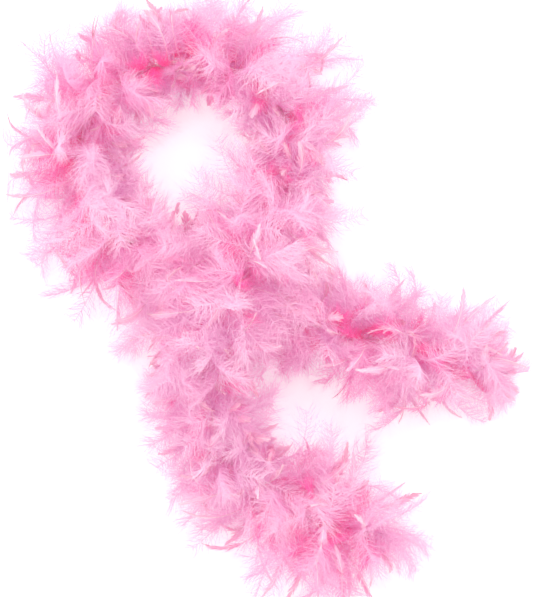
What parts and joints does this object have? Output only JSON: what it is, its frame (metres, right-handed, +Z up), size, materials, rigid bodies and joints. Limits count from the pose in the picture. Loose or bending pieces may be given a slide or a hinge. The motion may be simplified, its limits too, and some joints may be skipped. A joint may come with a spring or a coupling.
{
  "type": "feather boa",
  "caption": "Long fluffy strand of dyed feathers bound round a twine core, knotted at both ends, laid flat in an open loop with its two tails crossing.",
  "frame": {"origin": "on the surface that the boa lies on, under the middle of its overall length and width", "axes": "+Y from the lower tail towards the loop, the longest extent as laid; +X towards the right tail; +Z up from the surface"},
  "size_m": [0.6687, 0.7895, 0.1757],
  "materials": {
    "feather": "soft downy barbs with a faint sheen, paler at the tips and along the shafts",
    "twine": "three-ply twisted cotton, matte",
    "thread": "spun sewing thread, slight sheen"
  },
  "bodies": {
    "loop": {"loop_core": "twine", "loop_binding": "thread", "loop_feathers_01": "feather", "loop_feathers_02": "feather", "loop_feathers_03": "feather", "loop_feathers_04": "feather", "loop_feathers_05": "feather", "loop_feathers_06": "feather", "loop_feathers_07": "feather", "loop_feathers_08": "feather", "loop_feathers_09": "feather", "loop_feathers_10": "feather", "loop_feathers_11": "feather", "loop_feathers_12": "feather", "loop_feathers_13": "feather", "loop_feathers_14": "feather"},
    "right_bend": {"right_bend_core": "twine", "right_bend_binding": "thread", "right_bend_feathers": "feather"},
    "right_tail": {"right_tail_core": "twine", "right_tail_binding": "thread", "right_tail_feathers": "feather", "right_tail_soft_feathers": "feather"},
    "right_tip_bend": {"right_tip_bend_core": "twine", "right_tip_bend_binding": "thread", "right_tip_bend_feathers": "feather"},
    "right_tip": {"right_tip_core": "twine", "right_tip_binding": "thread", "right_tip_feathers": "feather", "right_tip_soft_feathers": "feather", "right_end_whipping": "thread", "right_end_knot": "twine", "right_twine_end": "twine"},
    "lower_bend": {"lower_bend_core": "twine", "lower_bend_binding": "thread", "lower_bend_feathers": "feather"},
    "lower_tail": {"lower_tail_core": "twine", "lower_tail_binding": "thread", "lower_tail_feathers": "feather", "lower_tail_soft_feathers": "feather"},
    "lower_tip_bend": {"lower_tip_bend_core": "twine", "lower_tip_bend_binding": "thread", "lower_tip_bend_feathers": "feather"},
    "lower_tip": {"lower_tip_core": "twine", "lower_tip_binding": "thread", "lower_tip_feathers": "feather", "lower_tip_soft_feathers": "feather", "lower_end_whipping": "thread", "lower_end_knot": "twine", "lower_twine_end": "twine"}
  },
  "joints": [
    {"name": "right_swing", "type": "hinge", "parent": "loop", "child": "right_bend", "pos_m": [0.03677, -0.04056, 0.04217], "axis": [0, 0, 1], "range_deg": [-20, 30], "deforming": ["right_bend_feathers"]},
    {"name": "right_lift", "type": "hinge", "parent": "right_bend", "child": "right_tail", "pos_m": [0.07492, -0.052, 0.04588], "axis": [-0.2705, -0.9627, 0], "range_deg": [0, 45], "deforming": ["right_tail_soft_feathers"]},
    {"name": "right_tip_swing", "type": "hinge", "parent": "right_tail", "child": "right_tip_bend", "pos_m": [0.16936, -0.07361, 0.04804], "axis": [0, 0, 1], "range_deg": [-35, 35], "deforming": ["right_tip_bend_feathers"]},
    {"name": "right_tip_lift", "type": "hinge", "parent": "right_tip_bend", "child": "right_tip", "pos_m": [0.20741, -0.08585, 0.048], "axis": [-0.3423, -0.9396, 0], "range_deg": [0, 45], "deforming": ["right_tip_soft_feathers"]},
    {"name": "lower_swing", "type": "hinge", "parent": "loop", "child": "lower_bend", "pos_m": [-0.09026, -0.10341, 0.07672], "axis": [0, 0, 1], "range_deg": [-20, 20], "deforming": ["lower_bend_feathers"]},
    {"name": "lower_lift", "type": "hinge", "parent": "lower_bend", "child": "lower_tail", "pos_m": [-0.0901, -0.14085, 0.06281], "axis": [-0.9954, -0.0955, 0], "range_deg": [0, 45], "deforming": ["lower_tail_soft_feathers"]},
    {"name": "lower_tip_swing", "type": "hinge", "parent": "lower_tail", "child": "lower_tip_bend", "pos_m": [-0.03375, -0.25278, 0.04759], "axis": [0, 0, 1], "range_deg": [-35, 35], "deforming": ["lower_tip_bend_feathers"]},
    {"name": "lower_tip_lift", "type": "hinge", "parent": "lower_tip_bend", "child": "lower_tip", "pos_m": [-0.00275, -0.27801, 0.04798], "axis": [-0.5756, -0.8178, 0], "range_deg": [0, 45], "deforming": ["lower_tip_soft_feathers"]}
  ]
}
